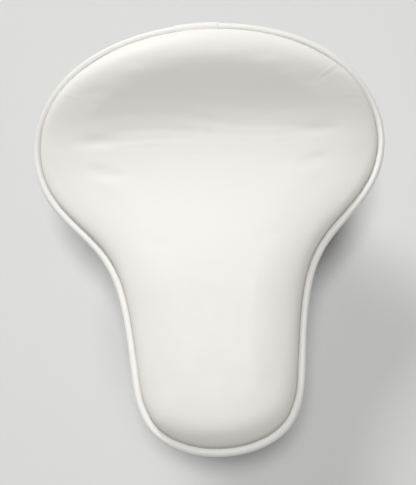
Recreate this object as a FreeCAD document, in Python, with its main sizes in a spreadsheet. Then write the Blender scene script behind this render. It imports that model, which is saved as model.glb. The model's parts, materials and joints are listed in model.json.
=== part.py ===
import FreeCAD, Part
import Sketcher
import math
import os

# Sprung bicycle saddle with a padded vinyl top, two coil springs, a double-rail
# wire frame and a clamp for a 22.2 mm seatpost.
#
# Frame: +Z up, the nose points along -Y, the rear along +Y, X is across.
# The origin is the middle of the clamp's bore, where the seatpost's axis is +Z.

Vector = FreeCAD.Vector

SIZES = (
    # the seat in plan
    ("seat_width", 250, "over the welt, at the widest place"),
    ("seat_length", 290.2, "over the welt, nose to rear"),
    ("seat_rear", 130, "rear edge behind the post axis"),
    # the upholstery, measured up from the underside of the pan
    ("pan_sheet", 1.6, "thickness of the steel pan"),
    ("felt_sheet", 3, "felt between the pan and the foam"),
    ("pan_droop", 8, "fall of the pan from the middle line to the widest place"),
    ("vinyl_sheet", 1.2, "thickness of the cover"),
    ("welt_size", 5, "diameter of the piping"),
    ("welt_rise", 18, "height of the piping's middle above the pan"),
    ("cushion_rise", 33, "height of the cover's top above the pan"),
    ("cushion_round", 14, "radius of the cover's shoulder"),
    ("hem_width", 14, "cover turned under the pan"),
    ("hem_gap", 1, "between the hem and the spring bracket"),
    ("wrap_length", 30, "sleeve over the joined ends of the piping"),
    ("wrap_shift", -3, "middle of the sleeve, across"),
    ("wrap_sheet", 1, "thickness of the sleeve"),
    # the wire frame
    ("rail_diameter", 7, "wire of the frame"),
    ("rail_spacing", 44, "between the rails' centres"),
    ("rail_height", 16, "rails above the clamp bolt"),
    ("pivot_reach", 118, "nose pivot ahead of the post axis"),
    ("pivot_height", 42, "nose pivot above the clamp bolt"),
    ("spring_side", 56, "springs from the middle line"),
    ("spring_back", 80, "springs behind the post axis"),
    ("eye_radius", 11, "flattened eye at each end of the wire"),
    ("eye_height", 4, "centre of the eye"),
    ("eye_overlap", 5, "end of the wire inside the eye, from its rim"),
    ("flare_side", 33, "corner of the flare towards the eye, from the middle line"),
    ("flare_lead", 15, "corner of the flare ahead of the springs"),
    ("rail_rear", 33, "rear corner of the rail behind the clamp bolt"),
    ("rail_front", 34, "front corner of the rail ahead of the clamp bolt"),
    ("rail_taper", 2, "how much nearer each rail comes to the middle line at the nose"),
    ("bar_sheet", 3, "thickness of the rear tie bar"),
    ("bar_width", 20, "width of the rear tie bar"),
    # the springs
    ("spring_wire", 4.5, "wire diameter"),
    ("spring_mean", 16, "mean radius of the coil"),
    ("spring_turns", 6, "turns"),
    ("cup_sheet", 1.6, "thickness of the spring cups"),
    ("cup_radius", 20, "outer radius of the cups"),
    ("cup_lip", 5.5, "height of the cups"),
    ("bracket_sheet", 2.5, "thickness of the brackets under the pan"),
    ("bracket_level", 64, "underside of the spring bracket"),
    ("bracket_half", 74, "half length of the spring bracket, across"),
    ("bracket_depth", 38, "spring bracket, front to back"),
    ("bracket_lip", 12, "lips that lie against the pan"),
    # the nose pivot
    ("bush_radius", 6.5, "nylon bush, outside"),
    ("bush_length", 20, "nylon bush, across"),
    ("bush_play", 0.1, "radial play between bush and wire"),
    ("bush_fit", 0.05, "radial play between bush and bracket"),
    ("nose_lip", 11, "lips of the nose bracket"),
    # the seatpost clamp
    ("bore_radius", 11.15, "bore for a 22.2 mm post"),
    ("band_sheet", 3, "wall of the band"),
    ("band_height", 30, "height of the band"),
    ("band_slot", 4, "gap between the ears"),
    ("slot_start", 5, "front end of the slot, inside the bore"),
    ("bolt_back", 20, "clamp bolt behind the post axis"),
    ("ear_face", 10, "outer face of each ear from the middle"),
    ("ear_radius", 9.5, "round of the ears"),
    ("tooth_count", 30, "radial teeth of each serrated face"),
    ("tooth_depth", 0.8, "depth of the teeth"),
    ("slack", 0.3, "play of the loosened clamp"),
    ("cheek_length", 26, "clamp cheeks along the rails"),
    ("cheek_inside", 15, "inner face of the inner cheek"),
    ("cheek_outside", 29, "outer face of the outer cheek"),
    ("cheek_top", 21.5, "top of the cheeks"),
    ("cheek_shoulder", 10, "lower end of the wide part of the cheeks"),
    ("cheek_waist", 9, "half width of the cheeks beside the bolt"),
    ("cheek_waist_low", 4, "lower end of that width, below the bolt"),
    ("cheek_foot", 10, "foot of the cheeks below the bolt"),
    ("cheek_foot_half", 4.5, "half width of the foot"),
    ("cheek_round", 2, "rounded corners of the cheeks"),
    ("rail_play", 0.08, "radial play of the rail in its groove"),
    # fasteners
    ("bolt_radius", 4, "M8 bolts"),
    ("bolt_head", 5.3, "height of an M8 head"),
    ("nut_height", 6.5, "height of an M8 nut"),
    ("hex_radius", 7.5, "M8 hexagon across the corners, half"),
    ("hole_radius", 4.25, "clearance hole for M8"),
    ("washer_sheet", 1.6, "M8 washer"),
    ("washer_radius", 8, "M8 washer, outside"),
    ("thread_play", 0.05, "radial play of a thread in its nut"),
    ("thread_end", 1.5, "thread that stands out of a nut"),
    ("screw_radius", 2.5, "M5 screws of the nose bracket"),
    ("screw_head", 2.2, "height of their heads"),
    ("screw_head_radius", 5, "radius of their heads"),
    ("screw_nut", 4, "height of an M5 nut"),
    ("screw_hex", 4.6, "M5 hexagon across the corners, half"),
    ("rivet_radius", 1.6, "rivet shanks"),
    ("rivet_head", 3.5, "radius of the rivet heads"),
    ("rivet_dome", 1.4, "height of the rivet heads"),
    ("rivet_tail", 3, "radius of the rivets' clenched tails"),
    ("rivet_tail_rise", 0.8, "height of the clenched tails"),
    ("hole_margin", 0.75, "holes beyond the shanks, because rivets lean with the pan"),
    ("fastener_gap", 0.15, "gap under their heads"),
    ("screw_edge", 6, "screws from the straps of the nose bracket"),
    ("rivet_edge", 4, "rear rivets behind the spring bracket's channel"),
    ("rivet_count", 16, "rivets along the hem"),
)

# Control points of the right half of the seat's edge, rear to nose: share of the
# half width, and share of the length counted from the nose.
EDGE = (
    (0.000, 1.021), (0.688, 0.960), (1.056, 0.795), (0.964, 0.600), (0.624, 0.478),
    (0.504, 0.366), (0.456, 0.204), (0.420, 0.039), (0.000, -0.020),
)

# The underside of the pan along the middle line: (y, z). The rear kicks up.
PAN_LINE = (
    (-175, 46), (-124, 54.5), (-60, 59), (0, 62), (40, 66.5),
    (70, 73.5), (95, 83.5), (115, 90), (140, 95),
)
# Bracket rivets from the middle line: along the front lip, and along the rear lip.
FRONT_RIVETS = (-46, 0, 46)
REAR_RIVETS = (-28, 0, 28)
# Outline of a rivet's dome: share of its radius, and share of its height.
DOME = ((0, 1), (0.55, 0.86), (0.9, 0.43), (1, 0))

SURFACE_HALF = 140      # the pan's surface is made this far to each side
FAR = 300               # longer than the saddle, for cutting and trimming

# Bend radii of the wire frame's middle line.
REAR_BEND = 12          # both corners of the flare behind the rail
FRONT_BEND = 40         # where the rail starts to climb to the nose
NOSE_BEND = 9           # into the cross piece at the nose

TOOTH_SHARE = 0.9       # width of a groove, as a share of the pitch of the teeth
TOOTH_CLEAR = 0.2       # how far the grooves' cutters stand out of the face

doc = FreeCAD.newDocument("bicycle_saddle")
sheet = doc.addObject("Spreadsheet::Sheet", "Sizes")
for row, (alias, number, note) in enumerate(SIZES, 1):
    sheet.set("A%d" % row, alias)
    sheet.set("B%d" % row, str(number))
    sheet.setAlias("B%d" % row, alias)
    sheet.set("C%d" % row, note)
doc.recompute()

parts = []


def value(expression):
    """The number an expression of the sheet's aliases gives."""
    return float(sheet.evalExpression(str(expression)))


def size(alias):
    return value("Sizes." + alias)


def keep(piece, name):
    """Register a finished sub-part under the name of its file."""
    piece.Label = name
    parts.append(piece)
    return piece


def place(piece, x=0, y=0, z=0, axis=(0, 0, 1), angle=0):
    """Turn a piece and bind its position to the sheet."""
    piece.Placement = FreeCAD.Placement(Vector(), FreeCAD.Rotation(Vector(*axis), angle))
    for letter, expression in zip("xyz", (x, y, z)):
        piece.setExpression("Placement.Base." + letter, str(expression))
    return piece


def primitive(kind, name, **sizes):
    """A Part primitive with its sizes bound to the sheet."""
    piece = doc.addObject("Part::" + kind, name)
    for prop, expression in sizes.items():
        piece.setExpression(prop, str(expression))
    return piece


def cut(base, tool, name):
    piece = doc.addObject("Part::Cut", name)
    piece.Base = base
    piece.Tool = tool
    return piece


def fuse(pieces, name):
    piece = doc.addObject("Part::MultiFuse", name)
    piece.Shapes = pieces
    return piece


def group(pieces, name):
    piece = doc.addObject("Part::Compound", name)
    piece.Links = pieces
    return piece


def solid(shape, name):
    """A sub-part whose free form is made with Part's own functions."""
    piece = doc.addObject("Part::Feature", name)
    piece.Shape = shape
    return keep(piece, name)


def mirrored(piece, name):
    """The left-hand copy of a right-hand piece."""
    copy = doc.addObject("Part::Mirroring", name + "_mirror")
    copy.Source = piece
    copy.Normal = Vector(1, 0, 0)
    return keep(copy, name)


# ---------------------------------------------------------------- sketch helpers

def pin_point(sketch, geometry, point, x, y):
    """Fix a sketch point at (x, y), each an expression."""
    for kind, expression in (("DistanceX", x), ("DistanceY", y)):
        number = value(expression)
        index = sketch.addConstraint(Sketcher.Constraint(kind, -1, 1, geometry, point, number))
        sketch.setExpression("Constraints[%d]" % index, str(expression))


def add_polygon(sketch, corners):
    first = sketch.GeometryCount
    points = [Vector(value(x), value(y), 0) for x, y in corners]
    count = len(points)
    for i in range(count):
        sketch.addGeometry(Part.LineSegment(points[i], points[(i + 1) % count]), False)
    for i in range(count):
        following = first + (i + 1) % count
        sketch.addConstraint(Sketcher.Constraint("Coincident", first + i, 2, following, 1))
        pin_point(sketch, first + i, 1, *corners[i])


def add_circle(sketch, x, y, radius):
    centre = Vector(value(x), value(y), 0)
    index = sketch.addGeometry(Part.Circle(centre, Vector(0, 0, 1), value(radius)), False)
    rule = sketch.addConstraint(Sketcher.Constraint("Radius", index, value(radius)))
    sketch.setExpression("Constraints[%d]" % rule, str(radius))
    pin_point(sketch, index, 3, x, y)


def new_sketch(body, role, polygon=None, circles=(), lift=0):
    """A sketch on one of the body's own planes, lifted along the plane's normal."""
    sketch = body.newObject("Sketcher::SketchObject", body.Name + "_sketch")
    plane = next(f for f in body.Origin.OriginFeatures if f.Role == role)
    sketch.AttachmentSupport = [(plane, "")]
    sketch.MapMode = "FlatFace"
    sketch.setExpression("AttachmentOffset.Base.z", str(lift))
    if polygon:
        add_polygon(sketch, polygon)
    for circle in circles:
        add_circle(sketch, *circle)
    return sketch


def feature(body, kind, sketch, length, symmetric=False):
    """A Pad or Pocket of a sketch, with its length bound to the sheet."""
    step = body.newObject("PartDesign::" + kind, body.Name + "_" + kind.lower())
    step.Profile = sketch
    step.SideType = "Symmetric" if symmetric else "One side"
    step.setExpression("Length", str(length))
    return step


def revolve(body, sketch):
    """A full turn about the sketch's vertical axis."""
    step = body.newObject("PartDesign::Revolution", body.Name + "_turned")
    step.Profile = sketch
    step.ReferenceAxis = (sketch, ["V_Axis"])
    step.Angle = 360
    return step


# ---------------------------------------------------------------- seat surfaces

def edge_wire(inset=0.0):
    """The seat's edge in plan, moved inward: a closed cubic spline in two halves.

    The halves meet at the rear and at the nose, and each starts and ends there.
    """
    half_width = size("seat_width") / 2
    length = size("seat_length")
    nose = size("seat_rear") - length
    right = [Vector(x * half_width, nose + y * length, 0) for x, y in EDGE]
    poles = right + [Vector(-p.x, p.y, 0) for p in right[-2:0:-1]]
    moved = []
    for i, pole in enumerate(poles):
        along = poles[(i + 1) % len(poles)] - poles[i - 1]
        inward = Vector(along.y, -along.x, 0).normalize()
        moved.append(pole + inward * inset)
    # the spline starts beside its second pole, so the rear pole is put second
    moved = moved[-1:] + moved[:-1]
    count = len(moved)
    halves = []
    for start in (0, count // 2):
        curve = Part.BSplineCurve()
        curve.buildFromPolesMultsKnots(moved, [1] * (count + 1), list(range(count + 1)), True, 3)
        curve.segment(start, start + count // 2)
        halves.append(curve.toShape())
    return Part.Wire(halves)


def outline(inset=0.0):
    """A flat face with the plan shape of the seat."""
    return Part.Face(edge_wire(inset))


def upright(face):
    """A tall solid over and under a flat face."""
    tall = face.copy()
    tall.translate(Vector(0, 0, -FAR))
    return tall.extrude(Vector(0, 0, 2 * FAR))


def walls(inset=0.0):
    """A tall solid with the plan shape of the seat."""
    return upright(outline(inset))


def pan_surface(rise=0.0):
    """The pan's underside, raised: the middle line carried across a shallow arch."""
    line = Part.BSplineCurve()
    line.interpolate([Vector(0, y, z + rise) for y, z in PAN_LINE])
    fall = size("pan_droop") * (2 * SURFACE_HALF / size("seat_width")) ** 2
    arch = ((-SURFACE_HALF, -fall), (0, fall), (SURFACE_HALF, -fall))
    poles = [[Vector(x, p.y, p.z + drop) for p in line.getPoles()] for x, drop in arch]
    surface = Part.BSplineSurface()
    surface.buildFromPolesMultsKnots(poles, [3, 3], line.getMultiplicities(), [0, 1],
                                     line.getKnots(), False, False, 2, line.Degree)
    return surface


def layer(low, high):
    """The solid between two heights above the pan's underside."""
    return pan_surface(low).toShape().extrude(Vector(0, 0, high - low))


def pan_point(x, y):
    """Where the vertical through (x, y) meets the pan's underside, and the normal."""
    surface = pan_surface()
    upright = Part.Line(Vector(x, y, 0), Vector(x, y, 1))
    hit = upright.intersectCS(surface)[0][0]
    spot = Vector(hit.X, hit.Y, hit.Z)
    normal = surface.normal(*surface.parameter(spot))
    return spot, normal if normal.z > 0 else normal * -1


def on_pan(shape, x, y, drop=0.0):
    """Stand a shape made about +Z on the pan's underside, lowered along the normal."""
    spot, normal = pan_point(x, y)
    turned = FreeCAD.Rotation(Vector(0, 0, 1), normal)
    shape.Placement = FreeCAD.Placement(spot - normal * drop, turned)
    return shape


def block(x0, x1, y0, y1, z0, z1):
    return Part.makeBox(x1 - x0, y1 - y0, z1 - z0, Vector(x0, y0, z0))


# ---------------------------------------------------------------- fasteners in the pan

def hem_spots():
    """Places spaced evenly along the middle of the hem."""
    line = edge_wire(size("welt_size") + size("hem_width") / 2)
    points = line.discretize(2 * int(size("rivet_count")) + 1)[1::2]
    return [(spot.x, spot.y) for spot in points]


def bracket_spots():
    """Places in the middle of the spring bracket's lips."""
    half = size("bracket_depth") / 2
    front = size("spring_back") - half - size("bracket_lip") / 2
    rear = size("spring_back") + half + size("rivet_edge")
    return [(x, front) for x in FRONT_RIVETS] + [(x, rear) for x in REAR_RIVETS]


def screw_spots():
    """Places in the middle of the nose bracket's lips."""
    reach = size("bush_radius") + size("bracket_sheet") + size("screw_edge")
    return [(0, -size("pivot_reach") - reach), (0, -size("pivot_reach") + reach)]


def discs(spots, radius, rise):
    """Round faces in plan where the fasteners' axes pass a height above the pan's underside."""
    faces = []
    for x, y in spots:
        spot, normal = pan_point(x, y)
        centre = spot + normal * (rise / normal.z)
        circle = Part.makeCircle(radius, Vector(centre.x, centre.y, 0))
        faces.append(Part.Face(Part.Wire(circle)))
    return faces


def rivet_holes(spots, low, high):
    return discs(spots, size("rivet_radius") + size("hole_margin"), (low + high) / 2)


def screw_holes(low, high):
    return discs(screw_spots(), size("screw_radius") + size("hole_margin"), (low + high) / 2)


def make_rivets(spots, sheet_below):
    """Rivets through the pan and a sheet below it: domed head, shank, tail in the foam."""
    shank = size("rivet_radius")
    tail = size("rivet_tail")
    low = -sheet_below - size("fastener_gap")
    high = size("pan_sheet") + size("fastener_gap")
    end = high + size("rivet_tail_rise")
    dome = [(x * size("rivet_head"), low - z * size("rivet_dome")) for x, z in DOME]
    outline = [Vector(x, 0, z) for x, z in dome + [
        (shank, low), (shank, high), (tail, high), (tail, end), (0, end), dome[0]]]
    face = Part.Face(Part.makePolygon(outline))
    return Part.makeCompound([on_pan(face.revolve(Vector(), Vector(0, 0, 1), 360), x, y)
                              for x, y in spots])


def make_nose_screws():
    """Round-headed M5 screws, heads above the pan, shanks down through the lips."""
    top = size("pan_sheet") + size("fastener_gap")
    low = -size("bracket_sheet") - size("screw_nut") - size("thread_end")
    screws = []
    for x, y in screw_spots():
        shank = Part.makeCylinder(size("screw_radius"), top - low, Vector(0, 0, low))
        head = Part.makeCylinder(size("screw_head_radius"), size("screw_head"), Vector(0, 0, top))
        screws.append(on_pan(shank.fuse(head).removeSplitter(), x, y))
    return Part.makeCompound(screws)


def make_nose_nuts():
    """Hexagon nuts under the lips."""
    turns = [math.radians(60 * k) for k in range(7)]
    corners = [Vector(math.cos(turn), math.sin(turn), 0) * size("screw_hex") for turn in turns]
    nut = Part.Face(Part.makePolygon(corners)).extrude(Vector(0, 0, -size("screw_nut")))
    bore = size("screw_radius") + size("thread_play")
    nut = nut.cut(Part.makeCylinder(bore, FAR, Vector(0, 0, -FAR / 2)))
    drop = size("bracket_sheet") + size("fastener_gap")
    return Part.makeCompound([on_pan(nut.copy(), x, y, drop) for x, y in screw_spots()])


# ---------------------------------------------------------------- upholstery

def cushion(shrink):
    """The padded body on the felt, with a rounded shoulder, shrunk by a cover's thickness."""
    top = size("cushion_rise") - shrink
    foot = size("pan_sheet") + size("felt_sheet")
    body = walls(size("welt_size") + shrink).common(layer(foot, top)).Solids[0]
    crown = max(body.Faces, key=lambda face: face.CenterOfMass.z)
    return body.makeFillet(size("cushion_round") - shrink, crown.OuterWire.Edges)


def make_pan():
    """The pressed steel pan, with its rivet and screw holes."""
    top = size("pan_sheet")
    pan = walls(size("welt_size") + size("vinyl_sheet")).common(layer(0, top))
    holes = rivet_holes(hem_spots() + bracket_spots(), 0, top) + screw_holes(0, top)
    return pan.cut([upright(hole) for hole in holes])


def make_felt():
    """The felt on the pan, punched over the rivets' tails and the screws' heads."""
    foot = size("pan_sheet")
    margin = size("hole_margin")
    seat = foot + size("fastener_gap")
    tails = discs(hem_spots() + bracket_spots(), size("rivet_tail") + margin,
                  seat + size("rivet_tail_rise") / 2)
    heads = discs(screw_spots(), size("screw_head_radius") + margin, seat + size("screw_head") / 2)
    felt = walls(size("welt_size") + size("vinyl_sheet")).common(layer(foot, foot + size("felt_sheet")))
    return felt.cut([upright(hole) for hole in tails + heads])


def make_cover_top():
    """The top panel: a skin over the foam, down to the welt's seam."""
    skin = cushion(0).cut(cushion(size("vinyl_sheet")))
    return skin.common(layer(size("welt_rise"), FAR))


def make_side_band():
    """The cover's side strip, and its hem turned under the pan."""
    vinyl = size("vinyl_sheet")
    outer = size("welt_size")
    strip = walls(outer).cut(walls(outer + vinyl)).common(layer(-vinyl, size("welt_rise")))
    inside = outline(outer + size("hem_width"))
    plan = outline(outer + vinyl).cut([inside] + rivet_holes(hem_spots(), -vinyl, 0))
    return strip.fuse(upright(plan).common(layer(-vinyl, 0)))


def make_welt(grow=0.0):
    """The piping's ring, standing outside the seam."""
    half = size("welt_size") / 2 + grow
    rise = size("welt_rise")
    return walls(-grow).cut(walls(size("welt_size"))).common(layer(rise - half, rise + half))


def make_upholstery():
    solid(make_pan(), "seat_pan")
    solid(make_felt(), "pan_felt")
    solid(cushion(size("vinyl_sheet")), "foam_pad")
    solid(make_cover_top(), "cover_top")
    solid(make_side_band(), "side_band")
    welt = make_welt()
    solid(welt, "welt_piping")
    middle = size("wrap_shift")
    half = size("wrap_length") / 2
    sleeve = make_welt(size("wrap_sheet")).common(block(middle - half, middle + half, 0, FAR, 0, FAR))
    solid(sleeve.cut(welt), "welt_joint_wrap")
    solid(make_rivets(hem_spots(), size("vinyl_sheet")), "hem_rivets")
    solid(make_rivets(bracket_spots(), size("bracket_sheet")), "bracket_rivets")
    solid(make_nose_screws(), "nose_bracket_screws")
    solid(make_nose_nuts(), "nose_bracket_nuts")


# ---------------------------------------------------------------- brackets under the pan

def rectangle(x0, x1, y0, y1):
    return Part.makePlane(x1 - x0, y1 - y0, Vector(x0, y0, 0))


def make_spring_bracket():
    """A hat section across the pan: a level web for the springs, and two lips."""
    metal = size("bracket_sheet")
    half = size("bracket_half")
    low = size("bracket_level")
    front = size("spring_back") - size("bracket_depth") / 2
    rear = size("spring_back") + size("bracket_depth") / 2
    lip = size("bracket_lip")
    channel = block(-half, half, front, rear, low, FAR)
    hollow = block(-half, half, front + metal, rear - metal, low + metal, FAR)
    gap = rectangle(-half, half, front + metal, rear - metal)
    plan = rectangle(-half, half, front - lip, rear + lip).cut(gap)
    lips = upright(plan).common(layer(-metal, 0))
    section = channel.cut(hollow).common(layer(-FAR / 2, 0)).fuse(lips)
    bracket = section.common(walls(size("welt_size") + size("hem_width") + size("hem_gap")))
    bolts = [Part.makeCylinder(size("hole_radius"), FAR,
                               Vector(side * size("spring_side"), size("spring_back"), 0))
             for side in (-1, 1)]
    return bracket.cut(bolts + [upright(hole) for hole in rivet_holes(bracket_spots(), -metal, 0)])


def make_nose_bracket():
    """A strap round the nose bush, with a lip to the front and one to the back."""
    metal = size("bracket_sheet")
    half = size("bush_length") / 2
    inner = size("bush_radius") + size("bush_fit")
    outer = inner + metal
    centre = Vector(-half, -size("pivot_reach"), size("pivot_height"))
    across = Vector(1, 0, 0)
    y, z = centre.y, centre.z
    lip = size("nose_lip")
    strap = Part.makeCylinder(outer, 2 * half, centre, across)
    strap = strap.fuse(block(-half, half, y - outer, y + outer, z, FAR))
    strap = strap.cut(Part.makeCylinder(inner, 2 * half, centre, across))
    strap = strap.cut(block(-half, half, y - inner, y + inner, z, FAR))
    gap = rectangle(-half, half, y - inner, y + inner)
    plan = rectangle(-half, half, y - outer - lip, y + outer + lip)
    lips = upright(plan.cut([gap] + screw_holes(-metal, 0))).common(layer(-metal, 0))
    return strap.common(layer(-FAR / 2, 0)).fuse(lips)


def make_nose_bush():
    """The nylon bush that turns on the frame's nose."""
    bush = primitive("Cylinder", "bush_outside", Radius="Sizes.bush_radius", Height="Sizes.bush_length")
    bore = primitive("Cylinder", "bush_bore", Height="Sizes.bush_length",
                     Radius="Sizes.rail_diameter / 2 + Sizes.bush_play")
    for cylinder in (bush, bore):
        place(cylinder, x="-Sizes.bush_length / 2", y="-Sizes.pivot_reach",
              z="Sizes.pivot_height", axis=(0, 1, 0), angle=90)
    keep(cut(bush, bore, "bush_cut"), "nose_bush")


# ---------------------------------------------------------------- wire frame

def rounded_path(points, radii):
    """Straight runs joined by tangent arcs; each inner point has its own radius."""
    edges = []
    start = points[0]
    for before, corner, after, radius in zip(points, points[1:], points[2:], radii):
        back = (before - corner).normalize()
        ahead = (after - corner).normalize()
        half_turn = (math.pi - back.getAngle(ahead)) / 2
        reach = radius * math.tan(half_turn)
        bisector = (back + ahead).normalize()
        middle = corner + bisector * (radius / math.cos(half_turn) - radius)
        first = corner + back * reach
        last = corner + ahead * reach
        edges.append(Part.LineSegment(start, first).toShape())
        edges.append(Part.Arc(first, middle, last).toShape())
        start = last
    edges.append(Part.LineSegment(start, points[-1]).toShape())
    return Part.Wire(edges)


def make_frame_wire():
    """One wire: eye, flare, rail, nose cross piece, rail, flare, eye."""
    radius = size("rail_diameter") / 2
    rail = size("rail_spacing") / 2
    level = size("rail_height")
    eye = Vector(size("spring_side"), size("spring_back"), size("eye_height"))
    flare = Vector(size("flare_side"), size("spring_back") - size("flare_lead"), size("eye_height"))
    end = eye - (eye - flare).normalize() * (size("eye_radius") - size("eye_overlap"))
    right = [end, flare,
             Vector(rail, size("bolt_back") + size("rail_rear"), level),
             Vector(rail, size("bolt_back") - size("rail_front"), level),
             Vector(rail - size("rail_taper"), -size("pivot_reach"), size("pivot_height"))]
    left = [Vector(-p.x, p.y, p.z) for p in reversed(right)]
    bends = [REAR_BEND, REAR_BEND, FRONT_BEND, NOSE_BEND]
    path = rounded_path(right + left, bends + bends[::-1])
    along = (flare - end).normalize()
    section = Part.Wire(Part.makeCircle(radius, end, along))
    wire = path.makePipeShell([section], True, False)
    straight = math.pi * radius ** 2 * path.Length
    print("frame wire volume / section x length: %.4f" % (wire.Volume / straight))
    for side in (1, -1):
        foot = Vector(side * eye.x, eye.y, eye.z - radius)
        wire = wire.fuse(Part.makeCylinder(size("eye_radius"), 2 * radius, foot))
        wire = wire.cut(Part.makeCylinder(size("hole_radius"), 2 * radius, foot))
    return wire


def make_tie_bar():
    """The flat bar under both eyes, with round ends."""
    body = doc.addObject("PartDesign::Body", "tie_bar")
    half = "Sizes.bar_width / 2"
    x, y = "Sizes.spring_side", "Sizes.spring_back"
    low, high = "%s - %s" % (y, half), "%s + %s" % (y, half)
    lift = "Sizes.eye_height - Sizes.rail_diameter / 2 - Sizes.bar_sheet"
    strip = new_sketch(body, "XY_Plane", lift=lift,
                       polygon=[("-" + x, low), (x, low), (x, high), ("-" + x, high)])
    feature(body, "Pad", strip, "Sizes.bar_sheet")
    for side in (x, "-" + x):
        end = new_sketch(body, "XY_Plane", circles=[(side, y, half)], lift=lift)
        feature(body, "Pad", end, "Sizes.bar_sheet")
    circles = [(side, y, "Sizes.hole_radius") for side in (x, "-" + x)]
    feature(body, "Pocket", new_sketch(body, "XY_Plane", circles=circles), FAR, symmetric=True)
    keep(body, "rear_tie_bar")


# ---------------------------------------------------------------- springs and cups

EYE_TOP = "(Sizes.eye_height + Sizes.rail_diameter / 2)"
BAR_UNDER = "(Sizes.eye_height - Sizes.rail_diameter / 2 - Sizes.bar_sheet)"
SPRING_FOOT = "(%s + Sizes.cup_sheet)" % EYE_TOP
SPRING_HEAD = "(Sizes.bracket_level - Sizes.cup_sheet)"


def make_cup(name, side, z, turn):
    """A dished washer that holds one end of a spring; turn 180 hangs it upside down."""
    body = doc.addObject("PartDesign::Body", name + "_body")
    profile = new_sketch(body, "XZ_Plane", polygon=[
        ("Sizes.hole_radius", 0), ("Sizes.cup_radius", 0), ("Sizes.cup_radius", "Sizes.cup_lip"),
        ("Sizes.cup_radius - Sizes.cup_sheet", "Sizes.cup_lip"),
        ("Sizes.cup_radius - Sizes.cup_sheet", "Sizes.cup_sheet"),
        ("Sizes.hole_radius", "Sizes.cup_sheet")])
    revolve(body, profile)
    place(body, x="%d * Sizes.spring_side" % side, y="Sizes.spring_back", z=z,
          axis=(1, 0, 0), angle=turn)
    keep(body, name)


def make_spring(name, side):
    """A coil spring between the two cups."""
    rise = "(%s - %s - Sizes.spring_wire - 2 * Sizes.slack)" % (SPRING_HEAD, SPRING_FOOT)
    helix = primitive("Helix", name + "_helix", Radius="Sizes.spring_mean", Height=rise,
                      Pitch=rise + " / Sizes.spring_turns")
    wire = primitive("Circle", name + "_wire", Radius="Sizes.spring_wire / 2")
    place(wire, x="Sizes.spring_mean", axis=(1, 0, 0), angle=90)
    sweep = doc.addObject("Part::Sweep", name + "_sweep")
    sweep.Sections = [wire]
    sweep.Spine = (helix, [])
    sweep.Solid = True
    sweep.Frenet = True
    place(sweep, x="%d * Sizes.spring_side" % side, y="Sizes.spring_back",
          z="%s + Sizes.spring_wire / 2 + Sizes.slack" % SPRING_FOOT)
    keep(sweep, name)


def hexagon(name, height, radius="Sizes.hex_radius"):
    prism = primitive("Prism", name, Circumradius=radius, Height=height)
    prism.Polygon = 6
    return prism


def make_bolt(name, x, y, z, length, turn):
    """A hexagon bolt, head below its seat at z and shank above; turn 180 flips it."""
    head = hexagon(name + "_head", "Sizes.bolt_head")
    place(head, z="-Sizes.bolt_head")
    shank = primitive("Cylinder", name + "_shank", Radius="Sizes.bolt_radius", Height=length)
    bolt = fuse([head, shank], name)
    return place(bolt, x=x, y=y, z=z, axis=(1, 0, 0), angle=turn)


def make_nut(name, x, y, z, axis=(0, 0, 1), angle=0):
    """A hexagon nut, its lower face at the place given."""
    outside = hexagon(name + "_hexagon", "Sizes.nut_height")
    bore = primitive("Cylinder", name + "_bore", Height="Sizes.nut_height",
                     Radius="Sizes.bolt_radius + Sizes.thread_play")
    return place(cut(outside, bore, name), x=x, y=y, z=z, axis=axis, angle=angle)


def make_spring_ends():
    sides = (("left", -1), ("right", 1))
    for name, side in sides:
        make_cup("lower_spring_cup_" + name, side, EYE_TOP, 0)
        make_cup("upper_spring_cup_" + name, side, "Sizes.bracket_level", 180)
        make_spring("spring_" + name, side)
    y = "Sizes.spring_back"
    bolts = {"lower": [], "upper": []}
    nuts = {"lower": [], "upper": []}
    web_top = "(Sizes.bracket_level + Sizes.bracket_sheet)"
    nut_under = "(%s - Sizes.nut_height)" % SPRING_HEAD
    for name, side in sides:
        x = "%d * Sizes.spring_side" % side
        length = "%s + Sizes.nut_height + Sizes.thread_end - %s" % (SPRING_FOOT, BAR_UNDER)
        bolts["lower"].append(make_bolt("lower_bolt_" + name, x, y, BAR_UNDER, length, 0))
        nuts["lower"].append(make_nut("lower_nut_" + name, x, y, SPRING_FOOT))
        length = "%s - %s + Sizes.thread_end" % (web_top, nut_under)
        bolts["upper"].append(make_bolt("upper_bolt_" + name, x, y, web_top, length, 180))
        nuts["upper"].append(make_nut("upper_nut_" + name, x, y, nut_under))
    for end in ("lower", "upper"):
        keep(group(bolts[end], end + "_bolts"), end + "_spring_bolts")
        keep(group(nuts[end], end + "_nuts"), end + "_spring_nuts")


# ---------------------------------------------------------------- seatpost clamp

def rosette_teeth(face, outward):
    """V grooves, radial about the clamp bolt, cut into a face at x = face."""
    depth = size("tooth_depth")
    count = int(size("tooth_count"))
    radius = size("ear_radius")
    half = math.pi * radius / count * TOOTH_SHARE
    top = face + outward * TOOTH_CLEAR
    centre = Vector(0, size("bolt_back"), 0)
    grooves = []
    for i in range(count):
        deep = Vector(face - outward * depth, radius + 1, 0)
        left = Vector(top, radius + 1, half)
        right = Vector(top, radius + 1, -half)
        base = Part.Face(Part.makePolygon([deep, left, right, deep]))
        tip = Vector(face, 0, 0)
        flanks = [Part.Face(Part.makePolygon([tip, a, b, tip]))
                  for a, b in ((deep, left), (left, right), (right, deep))]
        groove = Part.makeSolid(Part.makeShell([base] + flanks))
        if groove.Volume < 0:
            groove.reverse()
        groove.rotate(Vector(), Vector(1, 0, 0), 360.0 * i / count)
        groove.translate(centre)
        grooves.append(groove)
    tool = doc.addObject("Part::Feature", "teeth")
    tool.Shape = Part.makeCompound(grooves)
    return tool


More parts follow.
